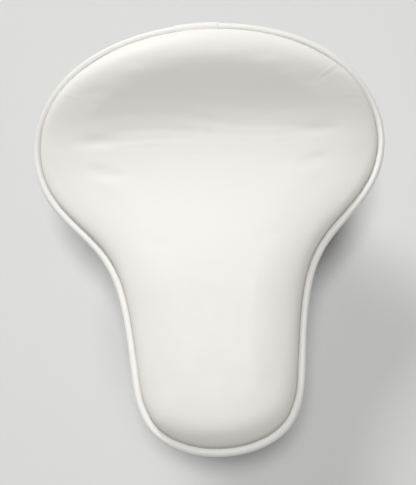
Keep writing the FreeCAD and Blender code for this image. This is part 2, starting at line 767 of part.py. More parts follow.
def make_post_band():
    """The split band round the post, its two ears and their serrated faces."""
    body = doc.addObject("PartDesign::Body", "band")
    outer = "Sizes.bore_radius + Sizes.band_sheet"
    ear, back = "Sizes.ear_radius", "Sizes.bolt_back"
    ring = new_sketch(body, "XY_Plane", circles=[(0, 0, outer)])
    feature(body, "Pad", ring, "Sizes.band_height", symmetric=True)
    neck = new_sketch(body, "YZ_Plane",
                      polygon=[(0, "-" + ear), (back, "-" + ear), (back, ear), (0, ear)])
    feature(body, "Pad", neck, "2 * Sizes.ear_face", symmetric=True)
    lobe = new_sketch(body, "YZ_Plane", circles=[(back, 0, ear)])
    feature(body, "Pad", lobe, "2 * Sizes.ear_face", symmetric=True)
    bore = new_sketch(body, "XY_Plane", circles=[(0, 0, "Sizes.bore_radius")])
    feature(body, "Pocket", bore, FAR, symmetric=True)
    gap = "Sizes.band_slot / 2"
    start = "Sizes.slot_start"
    slot = new_sketch(body, "XY_Plane",
                      polygon=[("-" + gap, start), (gap, start), (gap, FAR), ("-" + gap, FAR)])
    feature(body, "Pocket", slot, FAR, symmetric=True)
    hole = new_sketch(body, "YZ_Plane", circles=[(back, 0, "Sizes.hole_radius")])
    feature(body, "Pocket", hole, FAR, symmetric=True)
    face = size("ear_face")
    right = cut(body, rosette_teeth(face, 1), "band_right_teeth")
    keep(cut(right, rosette_teeth(-face, -1), "band_left_teeth"), "post_band")


def cheek_profile():
    """A cheek from the side: wide along the rail, narrow round the bolt."""
    corners = (("Sizes.cheek_length / 2", "Sizes.cheek_top"),
               ("Sizes.cheek_length / 2", "Sizes.cheek_shoulder"),
               ("Sizes.cheek_waist", "-Sizes.cheek_waist_low"),
               ("Sizes.cheek_foot_half", "-Sizes.cheek_foot"))
    front = [("Sizes.bolt_back - " + half, level) for half, level in corners]
    rear = [("Sizes.bolt_back + " + half, level) for half, level in reversed(corners)]
    return front + rear


def cheek_body(name, inner, outer):
    """A cheek's plate between two distances from the middle."""
    body = doc.addObject("PartDesign::Body", name + "_body")
    plate = new_sketch(body, "YZ_Plane", polygon=cheek_profile(), lift=inner)
    pad = feature(body, "Pad", plate, "(%s) - (%s)" % (outer, inner))
    doc.recompute()
    corners = ["Edge%d" % i for i, edge in enumerate(pad.Shape.Edges, 1)
               if edge.BoundBox.XLength > 1]
    rounds = body.newObject("PartDesign::Fillet", name + "_rounds")
    rounds.Base = (pad, corners)
    rounds.setExpression("Radius", "Sizes.cheek_round")
    return body


def finish_cheek(body):
    """Cut the rail's groove and the bolt's hole."""
    rail = ("Sizes.rail_spacing / 2", "Sizes.rail_height", "Sizes.rail_diameter / 2 + Sizes.rail_play")
    groove = new_sketch(body, "XZ_Plane", circles=[rail])
    feature(body, "Pocket", groove, FAR, symmetric=True)
    hole = new_sketch(body, "YZ_Plane", circles=[("Sizes.bolt_back", 0, "Sizes.hole_radius")])
    feature(body, "Pocket", hole, FAR, symmetric=True)


def make_cheeks():
    rail = "Sizes.rail_spacing / 2"
    toothed = "(Sizes.ear_face + Sizes.slack)"
    inner = cheek_body("inner_cheek", "Sizes.cheek_inside", rail + " - Sizes.slack")
    boss = new_sketch(inner, "YZ_Plane", lift=toothed,
                      circles=[("Sizes.bolt_back", 0, "Sizes.ear_radius")])
    feature(inner, "Pad", boss, "Sizes.cheek_inside - %s" % toothed)
    finish_cheek(inner)
    teeth = rosette_teeth(size("ear_face") + size("slack"), -1)
    inner_right = keep(cut(inner, teeth, "inner_cheek_teeth"), "inner_cheek_right")
    mirrored(inner_right, "inner_cheek_left")
    outer = cheek_body("outer_cheek", rail + " + Sizes.slack", "Sizes.cheek_outside")
    finish_cheek(outer)
    mirrored(keep(outer, "outer_cheek_right"), "outer_cheek_left")


def make_clamp_bolt():
    """The threaded stud, a nut and a washer at each end."""
    nut_face = "(Sizes.cheek_outside + Sizes.washer_sheet)"
    reach = "(%s + Sizes.nut_height + Sizes.thread_end)" % nut_face
    stud = primitive("Cylinder", "stud", Radius="Sizes.bolt_radius", Height="2 * " + reach)
    place(stud, x="-" + reach, y="Sizes.bolt_back", axis=(0, 1, 0), angle=90)
    keep(stud, "clamp_bolt")
    nuts = []
    washers = []
    for name, side in (("left", -1), ("right", 1)):
        nuts.append(make_nut("clamp_nut_" + name, "%d * %s" % (side, nut_face), "Sizes.bolt_back", 0,
                             axis=(0, 1, 0), angle=90 * side))
        disc = primitive("Cylinder", "washer_disc_" + name, Radius="Sizes.washer_radius",
                         Height="Sizes.washer_sheet")
        bore = primitive("Cylinder", "washer_bore_" + name, Radius="Sizes.hole_radius",
                         Height="Sizes.washer_sheet")
        washer = cut(disc, bore, "washer_" + name)
        washers.append(place(washer, x="%d * Sizes.cheek_outside" % side, y="Sizes.bolt_back",
                             axis=(0, 1, 0), angle=90 * side))
    keep(group(nuts, "clamp_nut_group"), "clamp_nuts")
    keep(group(washers, "washer_group"), "clamp_washers")


# ---------------------------------------------------------------- build and write

def check():
    """Stop if any object failed, or a sub-part is empty or broken."""
    doc.recompute()
    for item in doc.Objects:
        if {"Invalid", "Error"} & set(item.State):
            raise RuntimeError("%s: %s" % (item.Label, item.State))
    for part in parts:
        shape = part.Shape
        if shape.isNull() or not shape.isValid() or not shape.Solids or shape.Volume <= 0:
            raise RuntimeError("%s has no sound shape" % part.Label)


def write():
    os.makedirs("parts", exist_ok=True)
    for part in parts:
        part.Shape.exportStep("parts/%s.step" % part.Label)
        box = part.Shape.BoundBox
        print("%-24s solids %2d  volume %9.0f  x %6.1f %6.1f  y %6.1f %6.1f  z %6.1f %6.1f" % (
            part.Label, len(part.Shape.Solids), part.Shape.Volume,
            box.XMin, box.XMax, box.YMin, box.YMax, box.ZMin, box.ZMax))


make_upholstery()
solid(make_spring_bracket(), "spring_bracket")
solid(make_nose_bracket(), "nose_bracket")
make_nose_bush()
solid(make_frame_wire(), "frame_wire")
make_tie_bar()
make_spring_ends()
make_post_band()
make_cheeks()
make_clamp_bolt()
check()
write()
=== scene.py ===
"""Looks of the sprung bicycle saddle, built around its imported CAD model.

Metres, row frame: the nose points along -Y, the rear along +Y, +Z is up, and the origin
is the middle of the seatpost clamp's bore. Lengths that are easier to read in millimetres
are multiplied by MM.
"""
import json
import math

import bmesh
import bpy
import numpy as np
from mathutils import Matrix, Vector
from mathutils.kdtree import KDTree


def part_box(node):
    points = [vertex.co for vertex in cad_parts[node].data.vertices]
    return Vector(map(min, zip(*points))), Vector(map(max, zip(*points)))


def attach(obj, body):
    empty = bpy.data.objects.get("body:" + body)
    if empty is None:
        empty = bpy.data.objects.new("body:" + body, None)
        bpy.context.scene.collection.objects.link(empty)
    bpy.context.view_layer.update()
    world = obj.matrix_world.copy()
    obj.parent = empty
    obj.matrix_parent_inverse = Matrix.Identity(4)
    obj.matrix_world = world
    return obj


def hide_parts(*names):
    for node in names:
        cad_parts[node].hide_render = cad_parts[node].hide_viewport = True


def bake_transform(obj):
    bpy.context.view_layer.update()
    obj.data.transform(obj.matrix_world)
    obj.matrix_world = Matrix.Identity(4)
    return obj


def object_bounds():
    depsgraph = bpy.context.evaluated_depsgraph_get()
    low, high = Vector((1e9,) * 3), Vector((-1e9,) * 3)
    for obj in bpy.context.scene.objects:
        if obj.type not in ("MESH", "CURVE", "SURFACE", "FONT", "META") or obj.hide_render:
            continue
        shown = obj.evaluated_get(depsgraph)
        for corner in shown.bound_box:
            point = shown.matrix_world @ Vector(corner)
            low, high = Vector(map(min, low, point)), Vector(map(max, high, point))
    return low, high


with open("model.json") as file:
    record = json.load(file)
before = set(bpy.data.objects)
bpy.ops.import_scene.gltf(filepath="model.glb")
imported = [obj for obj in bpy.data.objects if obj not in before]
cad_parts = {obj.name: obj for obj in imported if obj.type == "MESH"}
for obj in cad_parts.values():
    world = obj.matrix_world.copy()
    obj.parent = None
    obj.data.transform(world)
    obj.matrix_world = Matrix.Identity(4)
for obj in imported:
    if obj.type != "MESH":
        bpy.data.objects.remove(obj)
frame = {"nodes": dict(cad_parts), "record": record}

MM = 0.001
CAD_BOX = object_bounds()
WELT_LOW, WELT_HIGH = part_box("welt_piping")

# ------------------------------------------------------------------ the seat's surfaces

# Control points of the right half of the seat's edge, rear to nose: share of the half
# width, and share of the length counted from the nose. The CAD model's edge has the same
# points. A script fitted them to the seat's outline.
EDGE = (
    (0.000, 1.021), (0.688, 0.960), (1.056, 0.795), (0.964, 0.600), (0.624, 0.478),
    (0.504, 0.366), (0.456, 0.204), (0.420, 0.039), (0.000, -0.020),
)
# The underside of the pan along the middle line, in millimetres: (y, z).
PAN_LINE = (
    (-175, 46), (-124, 54.5), (-60, 59), (0, 62), (40, 66.5),
    (70, 73.5), (95, 83.5), (115, 90), (140, 95),
)
PAN_DROOP = 8 * MM          # fall of the pan from the middle line to the widest place
AROUND = 720                # points round the seat
OVERSAMPLE = 40             # finer steps for each of them, to measure the edge's length
SIZING_POINTS = 4 * AROUND  # points that find how wide and long the outline is
SEAM_INSET = 4.7 * MM       # where the cover dives in behind the piping
WELT_RADIUS = 2.5 * MM
WELT_RISE = 18 * MM         # the piping's middle above the pan's underside


def spline_points(poles, steps):
    """Points of the closed uniform cubic B-spline at the given parameters."""
    whole = np.floor(steps).astype(int)
    u = (steps - whole)[:, None]
    shares = (
        (1 - u) ** 3,
        3 * u ** 3 - 6 * u ** 2 + 4,
        -3 * u ** 3 + 3 * u ** 2 + 3 * u + 1,
        u ** 3,
    )
    return sum(s * poles[(whole + k - 1) % len(poles)] for k, s in enumerate(shares)) / 6


def edge_poles():
    """The edge's control points, scaled to the CAD piping."""
    right = np.array(EDGE)
    left = right[-2:0:-1] * (-1, 1)
    poles = np.vstack([right, left])
    line = spline_points(poles, np.linspace(0, len(poles), SIZING_POINTS, endpoint=False))
    low, high = line.min(0), line.max(0)
    scale = (np.array(WELT_HIGH.xy) - np.array(WELT_LOW.xy)) / (high - low)
    return (poles - low) * scale + np.array(WELT_LOW.xy)


POLES = edge_poles()


def even_steps(count):
    """Spline parameters that divide the edge into equal lengths, from the rear's middle."""
    fine = np.linspace(0, len(POLES), OVERSAMPLE * count + 1)
    line = spline_points(POLES, fine)
    run = np.concatenate([[0], np.cumsum(np.linalg.norm(np.diff(line, axis=0), axis=1))])
    return np.interp(np.linspace(0, run[-1], count, endpoint=False), run, fine)


STEPS = even_steps(AROUND)


def edge(inset, steps=STEPS):
    """The seat's edge in plan, moved inward."""
    along = np.roll(POLES, -1, axis=0) - np.roll(POLES, 1, axis=0)
    inward = np.stack([along[:, 1], -along[:, 0]], 1)
    inward /= np.linalg.norm(inward, axis=1)[:, None]
    return spline_points(POLES + inward * inset, steps)


def natural_spline(knots, heights):
    """A function: the natural cubic spline through the points."""
    knots, heights = np.array(knots, float), np.array(heights, float)
    gap = np.diff(knots)
    rise = np.diff(heights) / gap
    matrix = np.eye(len(knots))
    right = np.zeros(len(knots))
    for i in range(1, len(knots) - 1):
        matrix[i, i - 1:i + 2] = gap[i - 1], 2 * (gap[i - 1] + gap[i]), gap[i]
        right[i] = 6 * (rise[i] - rise[i - 1])
    bend = np.linalg.solve(matrix, right)

    def at(y):
        i = np.clip(np.searchsorted(knots, y) - 1, 0, len(gap) - 1)
        a, b = knots[i + 1] - y, y - knots[i]
        h = gap[i]
        return ((bend[i] * a ** 3 + bend[i + 1] * b ** 3) / (6 * h)
                + (heights[i] / h - bend[i] * h / 6) * a
                + (heights[i + 1] / h - bend[i + 1] * h / 6) * b)
    return at


middle_line = natural_spline(*(np.array(PAN_LINE).T * MM))


def pan_height(x, y):
    """Height of the pan's underside."""
    return middle_line(y) - PAN_DROOP * (x / WELT_HIGH.x) ** 2


def ring(inset, rise, steps=STEPS):
    """A closed line that follows the edge, moved inward and up from the pan."""
    plan = edge(inset, steps)
    return np.column_stack([plan, pan_height(*plan.T) + rise])


def smooth(low, high, x):
    """0 below low, 1 above high, and an even turn between them."""
    t = np.clip((x - low) / (high - low), 0, 1)
    return t * t * (3 - 2 * t)


# ------------------------------------------------------------------ meshes

def mesh_object(name, points, faces, material):
    """A smooth-shaded object in the scene."""
    mesh = bpy.data.meshes.new(name)
    mesh.from_pydata([tuple(p) for p in points], [], faces)
    mesh.polygons.foreach_set("use_smooth", [True] * len(mesh.polygons))
    mesh.materials.append(material)
    mesh.update()
    piece = bpy.data.objects.new(name, mesh)
    bpy.context.scene.collection.objects.link(piece)
    return piece


def strips(rows, columns, wrap_rows=False):
    """Quads between closed rows of points that follow one another."""
    faces = []
    for r in range(rows if wrap_rows else rows - 1):
        for c in range(columns):
            a, b = r * columns, (r + 1) % rows * columns
            d = (c + 1) % columns
            faces.append((a + c, a + d, b + d, b + c))
    return faces


def tube(name, path, radii, sides, material, closed=False):
    """A round tube along a line of points, with a radius for each point."""
    path = np.array(path, float)
    if closed:
        ahead = np.roll(path, -1, axis=0) - np.roll(path, 1, axis=0)
    else:
        ahead = np.gradient(path, axis=0)
    ahead /= np.linalg.norm(ahead, axis=1)[:, None]
    out = np.cross(ahead, (0, 0, 1))
    out /= np.linalg.norm(out, axis=1)[:, None]
    up = np.cross(out, ahead)
    turn = np.linspace(0, 2 * math.pi, sides, endpoint=False)
    radii = np.broadcast_to(radii, len(path))
    rows = [p + r * (np.outer(np.cos(turn), o) + np.outer(np.sin(turn), u))
            for p, r, o, u in zip(path, radii, out, up)]
    points = np.vstack(rows)
    faces = strips(len(path), sides, wrap_rows=closed)
    if not closed:
        faces.append(tuple(range(sides)))
        faces.append(tuple(range(len(points) - 1, len(points) - sides - 1, -1)))
    return mesh_object(name, points, faces, material)


# ------------------------------------------------------------------ materials

class Finish:
    """A procedural material, built up from noise in the row frame's coordinates."""

    def __init__(self, name, colour, metallic=0.0, roughness=0.5, **sockets):
        self.material = bpy.data.materials.new(name)
        self.material.use_nodes = True
        self.tree = self.material.node_tree
        self.shader = self.tree.nodes["Principled BSDF"]
        self.shader.inputs["Base Color"].default_value = (*colour, 1)
        self.shader.inputs["Metallic"].default_value = metallic
        self.shader.inputs["Roughness"].default_value = roughness
        for socket, number in sockets.items():
            self.shader.inputs[socket.replace("_", " ")].default_value = number
        self.place = self.node("ShaderNodeTexCoord").outputs["Object"]
        self.colour = (*colour, 1)
        self.last_colour = None
        self.last_bump = None

    def node(self, kind, **settings):
        made = self.tree.nodes.new(kind)
        for key, setting in settings.items():
            setattr(made, key, setting)
        return made

    def link(self, start, end):
        self.tree.links.new(start, end)

    def stretched(self, scale):
        mapping = self.node("ShaderNodeMapping")
        mapping.inputs["Scale"].default_value = scale
        self.link(self.place, mapping.inputs["Vector"])
        return mapping.outputs["Vector"]

    def noise(self, size, detail=4, stretch=None, roughness=0.55, distortion=0.0):
        """Noise whose spots are about size across, in metres."""
        made = self.node("ShaderNodeTexNoise")
        made.inputs["Scale"].default_value = 1 / size
        made.inputs["Detail"].default_value = detail
        made.inputs["Roughness"].default_value = roughness
        made.inputs["Distortion"].default_value = distortion
        self.link(self.stretched(stretch) if stretch else self.place, made.inputs["Vector"])
        return made.outputs["Fac"]

    def cells(self, size, feature):
        """Cells that are about size across, in metres."""
        made = self.node("ShaderNodeTexVoronoi", feature=feature)
        made.inputs["Scale"].default_value = 1 / size
        self.link(self.place, made.inputs["Vector"])
        return made.outputs["Distance"]

    def attribute(self, name):
        return self.node("ShaderNodeAttribute", attribute_name=name).outputs["Fac"]

    def spread(self, source, low, high, start=0.3, end=0.7):
        """The source's start..end stretched to low..high."""
        made = self.node("ShaderNodeMapRange")
        for socket, number in (("From Min", start), ("From Max", end),
                               ("To Min", low), ("To Max", high)):
            made.inputs[socket].default_value = number
        self.link(source, made.inputs["Value"])
        return made.outputs["Result"]

    def tint(self, source, colour):
        """Mixes another colour in where the source is high."""
        mix = self.node("ShaderNodeMix", data_type="RGBA")
        self.link(source, mix.inputs["Factor"])
        if self.last_colour:
            self.link(self.last_colour, mix.inputs["A"])
        else:
            mix.inputs["A"].default_value = self.colour
        mix.inputs["B"].default_value = (*colour, 1)
        self.last_colour = mix.outputs["Result"]
        self.link(self.last_colour, self.shader.inputs["Base Color"])

    def rough(self, source):
        self.link(source, self.shader.inputs["Roughness"])

    def bump(self, source, depth, strength):
        """Raises the surface by up to depth, in metres."""
        made = self.node("ShaderNodeBump")
        made.inputs["Strength"].default_value = strength
        made.inputs["Distance"].default_value = depth
        self.link(source, made.inputs["Height"])
        if self.last_bump:
            self.link(self.last_bump, made.inputs["Normal"])
        self.last_bump = made.outputs["Normal"]
        self.link(self.last_bump, self.shader.inputs["Normal"])


def darker(colour, share):
    return tuple(c * share for c in colour)


def vinyl(name, colour, seam_grime_and_shade, roughness, grain):
    """Calendered vinyl: a fine pressed grain, faint clouding, and grime with painted shade in the seam.
    """
    made = Finish(name, colour, roughness=roughness, Specular_IOR_Level=0.35)
    made.tint(made.spread(made.noise(60 * MM, detail=3), low=0.0, high=0.35), darker(colour, 0.97))
    made.tint(made.spread(made.noise(0.9 * MM, detail=2), low=0.0, high=0.12), darker(colour, 0.93))
    # darkens the crease at the seam: painted shade, with some grime
    made.tint(made.attribute("seam_grime_and_shade"), seam_grime_and_shade)
    made.rough(made.spread(made.noise(9 * MM), low=roughness - 0.05, high=roughness + 0.06))
    made.bump(made.cells(1.1 * MM, feature="SMOOTH_F1"), depth=0.05 * MM, strength=grain)
    made.bump(made.noise(0.45 * MM, detail=3), depth=0.03 * MM, strength=grain)
    ripples = made.noise(6 * MM, stretch=(0.3, 1, 0.5), distortion=0.4)
    made.bump(ripples, depth=0.09 * MM, strength=0.8)
    return made.material


def foam(name):
    """Moulded foam with small open cells."""
    made = Finish(name, (0.85, 0.80, 0.62), roughness=0.95, Specular_IOR_Level=0.2)
    made.tint(made.spread(made.noise(1.4 * MM, detail=3), low=0, high=0.6), (0.70, 0.64, 0.46))
    made.bump(made.cells(1.2 * MM, feature="F1"), depth=0.4 * MM, strength=0.6)
    return made.material


def felt(name):
    """Grey needle felt."""
    made = Finish(name, (0.42, 0.41, 0.39), roughness=0.95, Specular_IOR_Level=0.1)
    fibres = made.noise(1.0 * MM, detail=5, roughness=0.7)
    made.tint(made.spread(fibres, low=0, high=0.8), (0.28, 0.27, 0.26))
    made.bump(made.noise(0.5 * MM, detail=5, roughness=0.7), depth=0.4 * MM, strength=0.8)
    return made.material


def enamel(name, chips):
    """Black stoved enamel on pressed steel: orange peel, dust and a few worn specks."""
    made = Finish(name, (0.022, 0.022, 0.025), roughness=0.32, Coat_Weight=0.4, Coat_Roughness=0.15)
    dust = made.spread(made.noise(35 * MM, detail=5), low=0.0, high=0.5, start=0.45, end=0.75)
    made.tint(dust, (0.055, 0.052, 0.048))
    worn = made.noise(3.5 * MM, detail=6, roughness=0.7)
    made.tint(made.spread(worn, low=0.0, high=chips, start=0.66, end=0.72), (0.23, 0.21, 0.19))
    made.rough(made.spread(made.noise(12 * MM, detail=5), low=0.26, high=0.48))
    made.bump(made.noise(2.2 * MM, detail=2), depth=0.05 * MM, strength=0.5)
    return made.material


def chrome(name, colour, roughness, brushed=0.0):
    """Plated steel: faint clouding, fine polishing lines and a few dull spots."""
    made = Finish(name, colour, metallic=1.0, roughness=roughness)
    clouds = made.spread(made.noise(14 * MM, detail=5), low=0.0, high=0.5, start=0.4, end=0.8)
    made.tint(clouds, darker(colour, 0.82))
    spots = made.noise(2.4 * MM, detail=6, roughness=0.7)
    made.tint(made.spread(spots, low=0.0, high=0.45, start=0.67, end=0.75), (0.33, 0.29, 0.24))
    made.rough(made.spread(made.noise(6 * MM, detail=6), low=roughness * 0.75, high=roughness * 1.5))
    lines = made.noise(0.9 * MM, detail=3, stretch=(1, 0.12, 1))
    made.bump(lines, depth=0.02 * MM, strength=0.25 + brushed)
    return made.material


def zinc(name):
    """Zinc plating: small crystals under a dull bloom."""
    made = Finish(name, (0.60, 0.60, 0.57), metallic=1.0, roughness=0.38)
    crystals = made.spread(made.cells(1.8 * MM, feature="F1"), low=0.0, high=0.35, start=0.1, end=0.8)
    made.tint(crystals, (0.48, 0.49, 0.50))
    bloom = made.spread(made.noise(5 * MM, detail=5), low=0.0, high=0.4, start=0.5, end=0.8)
    made.tint(bloom, (0.42, 0.40, 0.34))
    made.rough(made.spread(made.noise(2.5 * MM, detail=5), low=0.28, high=0.52))
    made.bump(made.noise(0.6 * MM, detail=3), depth=0.02 * MM, strength=0.4)
    return made.material


def nylon(name):
    """Black nylon with a faint mottle."""
    made = Finish(name, (0.045, 0.045, 0.047), roughness=0.55)
    made.tint(made.spread(made.noise(8 * MM), low=0.0, high=0.5), (0.075, 0.073, 0.070))
    made.rough(made.spread(made.noise(1.5 * MM), low=0.45, high=0.68))
    made.bump(made.noise(0.5 * MM, detail=3), depth=0.03 * MM, strength=0.5)
    return made.material


MATERIALS = {
    # the seam colours below are grime and painted shade for the crease at the piping
    "vinyl": vinyl("white_vinyl", (0.875, 0.86, 0.815),
                   seam_grime_and_shade=(0.42, 0.38, 0.31), roughness=0.52, grain=0.10),
    "welt": vinyl("white_vinyl_piping", (0.88, 0.87, 0.84),
                  seam_grime_and_shade=(0.40, 0.36, 0.29), roughness=0.46, grain=0.08),
    "foam": foam("moulded_foam"),
    "felt": felt("needle_felt"),
    "pan": enamel("black_enamel_pan", chips=0.5),
    "bracket": enamel("black_enamel_bracket", chips=0.7),
    "wire": chrome("chrome_wire", (0.74, 0.74, 0.76), roughness=0.14),
    "spring": chrome("chrome_spring", (0.72, 0.72, 0.74), roughness=0.17),
    "clamp": chrome("satin_chrome", (0.66, 0.66, 0.67), roughness=0.30, brushed=0.2),
    "zinc": zinc("zinc_plate"),
    "bush": nylon("black_nylon"),
}


def dress_cad_nodes():
    """Gives every carried-over CAD node the material of its own slot."""
    slots = {part["node"]: part["material_slot"] for part in frame["record"]["subparts"]}
    for name, node in frame["nodes"].items():
        node.data.materials.clear()
        node.data.materials.append(MATERIALS[slots[name]])


# ------------------------------------------------------------------ upholstery

CUSHION_RISE = 33.5 * MM    # the top above the pan's underside
SEAM_RISE = 17.2 * MM       # the seam above it
FOAM_FOOT = 4.7             # the foam's flat underside above it, on the felt, in millimetres
SHOULDER = 16 * MM          # nearer the edge than this the rings lie closer together
RINGS = 62
SEAM_RINGS = 15             # of them, the ones from the seam to the shoulder
RING_CROWDING = 1.7         # power that crowds them at the seam
# The rolled edge and the relief below come from a fit to the photograph's shading, rounded.
# Some were then changed against renders.
# How far in from the seam the rolled edge goes: narrow at the nose, wide elsewhere.
ROLL_NOSE = 15 * MM
ROLL_BODY = 32 * MM
ROLL_TURN = (-150 * MM, -115 * MM)
# The rolled edge's two powers: upright at the seam in front, sloping at the rear.
ROLL_FRONT = (1.6, 3.0)
ROLL_REAR = (1.9, 1.45)
REAR_TURN = (70 * MM, 110 * MM)
# The foam against an even thickness: full in front, a dip for the rider, a full rear edge.
FRONT_FULL = 4 * MM
DIP_DEPTH = 7.5 * MM
REAR_FULL = 7 * MM
DIP_FRONT = (-60 * MM, 40 * MM)     # where the front falls into the dip
DIP_REAR = (50 * MM, 122 * MM)      # where the dip climbs to the rear edge
WINGS = 1.2 * MM                    # how much higher the wide part is at WING_REACH
WING_REACH = 100 * MM
WING_TURN = (20 * MM, 80 * MM)
# The line along the middle that the rings close on: its ends, from the seat's own ends.
SPINE_NOSE = 55 * MM
SPINE_REAR = 70 * MM
# The underside from the seam inward, in millimetres: (inset, rise above the pan's underside).
FOAM_SKIRT = ((6.6, 15.0), (6.7, 9.0), (6.9, 5.6), (7.6, 4.75), (12.0, FOAM_FOOT))
MERGE_DISTANCE = 0.02 * MM
# Grime and painted shade darken the crease between the cover and the piping.
COVER_GRIME_AND_SHADE = 0.45
WELT_GRIME_AND_SHADE = 0.4
GRIME_AND_SHADE_INSET = 5.0 * MM
GRIME_AND_SHADE_WIDTH = 0.7 * MM
GRIME_AND_SHADE_DEEP = (2 * MM, 5 * MM)       # depths under the top between which it ends
WELT_GRIME_AND_SHADE_TURN = (4.3 * MM, 4.9 * MM)      # insets between which it begins on the piping


def distance_to_edge(points):
    """Distance in plan from each point to the seat's edge."""
    line = edge(0)
    nearest = np.full(len(points), np.inf)
    ahead = np.roll(line, -1, axis=0) - line
    for start, step, square in zip(line, ahead, (ahead ** 2).sum(1)):
        share = np.clip(((points - start) @ step) / square, 0, 1)
        gap = points - (start + share[:, None] * step)
        nearest = np.minimum(nearest, (gap ** 2).sum(1))
    return np.sqrt(nearest)


def roll_width(y):
    return ROLL_NOSE + (ROLL_BODY - ROLL_NOSE) * smooth(*ROLL_TURN, y)


def foam_change(y):
    """How much thicker or thinner the foam is along the middle line."""
    fall = (FRONT_FULL + DIP_DEPTH) * smooth(*DIP_FRONT, y)
    climb = (REAR_FULL + DIP_DEPTH) * smooth(*DIP_REAR, y)
    return FRONT_FULL - fall + climb


def roll_profile(share, y):
    """Rise of the cover across its rolled edge, from 0 at the seam to 1."""
    rear = smooth(*REAR_TURN, y)
    inner, outer = (front + (back - front) * rear for front, back in zip(ROLL_FRONT, ROLL_REAR))
    rest = 1 - np.clip(share, 0, 1)
    return (1 - rest ** inner) ** (1 / outer)


def cushion_height(plan):
    """Height of the cover's top over a place in plan."""
    x, y = plan.T
    inset = distance_to_edge(plan)
    roll = roll_profile((inset - SEAM_INSET) / roll_width(y), y)
    wings = WINGS * smooth(*WING_TURN, y) * (x / WING_REACH) ** 2
    full = CUSHION_RISE - SEAM_RISE + foam_change(y) + wings
    return pan_height(x, y) + SEAM_RISE + full * roll + corner_folds(x, y, inset) + creases(x, y)


# The folds at the rear corners run in from the seam like spokes toward a hub on each side.
FOLD_HUB = (62 * MM, 70 * MM)
FOLD_MIDDLE, FOLD_SPREAD = 96 * MM, 30 * MM     # how far out they are strongest
FOLD_TURN = (45 * MM, 80 * MM)                  # how far back they begin
FOLD_RISE = (5 * MM, 11 * MM)                   # insets between which they rise
FOLD_FADE = (18 * MM, 50 * MM)                  # insets between which they fade
FOLD_HEIGHT = 0.06 * MM
FOLD_SIDES = 0.03 * MM                          # more on the right, less on the left
# The creases lie across the dip in front of the rear edge.
CREASE_HEIGHT = 0.06 * MM
CREASE_MIDDLE, CREASE_SPREAD = 62 * MM, 16 * MM
CREASE_FADE = (50 * MM, 95 * MM)                # how far out they fade
CREASE_WAVE = 1.15 * MM                         # a wave is 2 pi times this long
CREASE_BOW = 31 * MM                            # slower waves that bend the creases, along X
CREASE_DRIFT = 7 * MM                           # and along Y


def corner_folds(x, y, inset):
    """Fine folds where the cover is drawn round the rear corners."""
    side = np.sign(x)
    outward = np.exp(-((np.abs(x) - FOLD_MIDDLE) / FOLD_SPREAD) ** 2)
    along = np.arctan2(y - FOLD_HUB[1], np.abs(x) - FOLD_HUB[0])
    # two combs of uneven waves, and a slow wave that lets them come and go
    folds = np.sin(44 * along + 3 * np.sin(5 * along + side))
    folds += 0.7 * np.sin(67 * along + 2 + 2 * np.sin(7 * along - side))
    folds *= 0.55 + 0.45 * np.sin(9 * along + 2 * side)
    reach = smooth(*FOLD_RISE, inset) * (1 - smooth(*FOLD_FADE, inset))
    return (FOLD_HEIGHT + FOLD_SIDES * side) * folds * outward * smooth(*FOLD_TURN, y) * reach


def creases(x, y):
    """Shallow creases across the dip."""
    near = np.exp(-((y - CREASE_MIDDLE) / CREASE_SPREAD) ** 2)
    near *= 1 - smooth(*CREASE_FADE, np.abs(x))
    wander = 4 * np.sin(x / CREASE_BOW) + 2.5 * np.sin(y / CREASE_DRIFT)
    return CREASE_HEIGHT * np.sin(y / CREASE_WAVE + wander) * near


def spine(plan):
    """The point of the middle line that each point of the edge closes on."""
    low, high = WELT_LOW.y, WELT_HIGH.y
    share = (plan[:, 1] - low) / (high - low)
    reach = high - low - SPINE_NOSE - SPINE_REAR
    return np.column_stack([np.zeros(len(plan)), low + SPINE_NOSE + share * reach])


def cushion_rings():
    """Plan positions from the seam to the spine, close together at the seam."""
    shoulder, goal = edge(SHOULDER), spine(edge(0))
    crowded = np.linspace(0, 1, SEAM_RINGS) ** RING_CROWDING
    rings = [edge(inset) for inset in crowded * (SHOULDER - SEAM_INSET) + SEAM_INSET]
    for share in np.linspace(0, 1, RINGS - SEAM_RINGS + 1)[1:]:
        rings.append(shoulder * (1 - share) + goal * share)
    return rings


def make_cushion():
    """The cover and its foam as one closed form, from the middle of the underside to the top."""
    plans = cushion_rings()
    flat = [np.column_stack([plan, pan_height(*plan.T) + FOAM_FOOT * MM])
            for plan in plans[SEAM_RINGS - 1:]]
    skirt = [ring(inset * MM, rise * MM) for inset, rise in FOAM_SKIRT]
    top = [np.column_stack([plan, cushion_height(plan)]) for plan in plans]
    # the flat part's outermost ring is left out, because the skirt ends beside it
    levels = flat[:0:-1] + skirt[::-1] + top
    piece = mesh_object("cushion", np.vstack(levels), strips(len(levels), AROUND), MATERIALS["vinyl"])
    merge(piece, MERGE_DISTANCE)
    settle(piece)
    points = mesh_points(piece)
    inset = distance_to_edge(points[:, :2])
    below = smooth(*GRIME_AND_SHADE_DEEP, cushion_height(points[:, :2]) - points[:, 2])
    # paints shade, with some grime, into the crease just inside the piping
    paint_grime_and_shade(piece, COVER_GRIME_AND_SHADE * np.exp(-((inset - GRIME_AND_SHADE_INSET) / GRIME_AND_SHADE_WIDTH) ** 2) * (1 - below))
    return piece


def mesh_points(piece):
    points = np.empty(3 * len(piece.data.vertices))
    piece.data.vertices.foreach_get("co", points)
    return points.reshape(-1, 3)


def paint_grime_and_shade(piece, amounts):
    """Marks how much grime and painted shade darken each point, for the vinyl's colour."""
    seam_grime_and_shade = piece.data.attributes.new("seam_grime_and_shade", "FLOAT", "POINT")
    seam_grime_and_shade.data.foreach_set("value", np.asarray(amounts, np.float32))


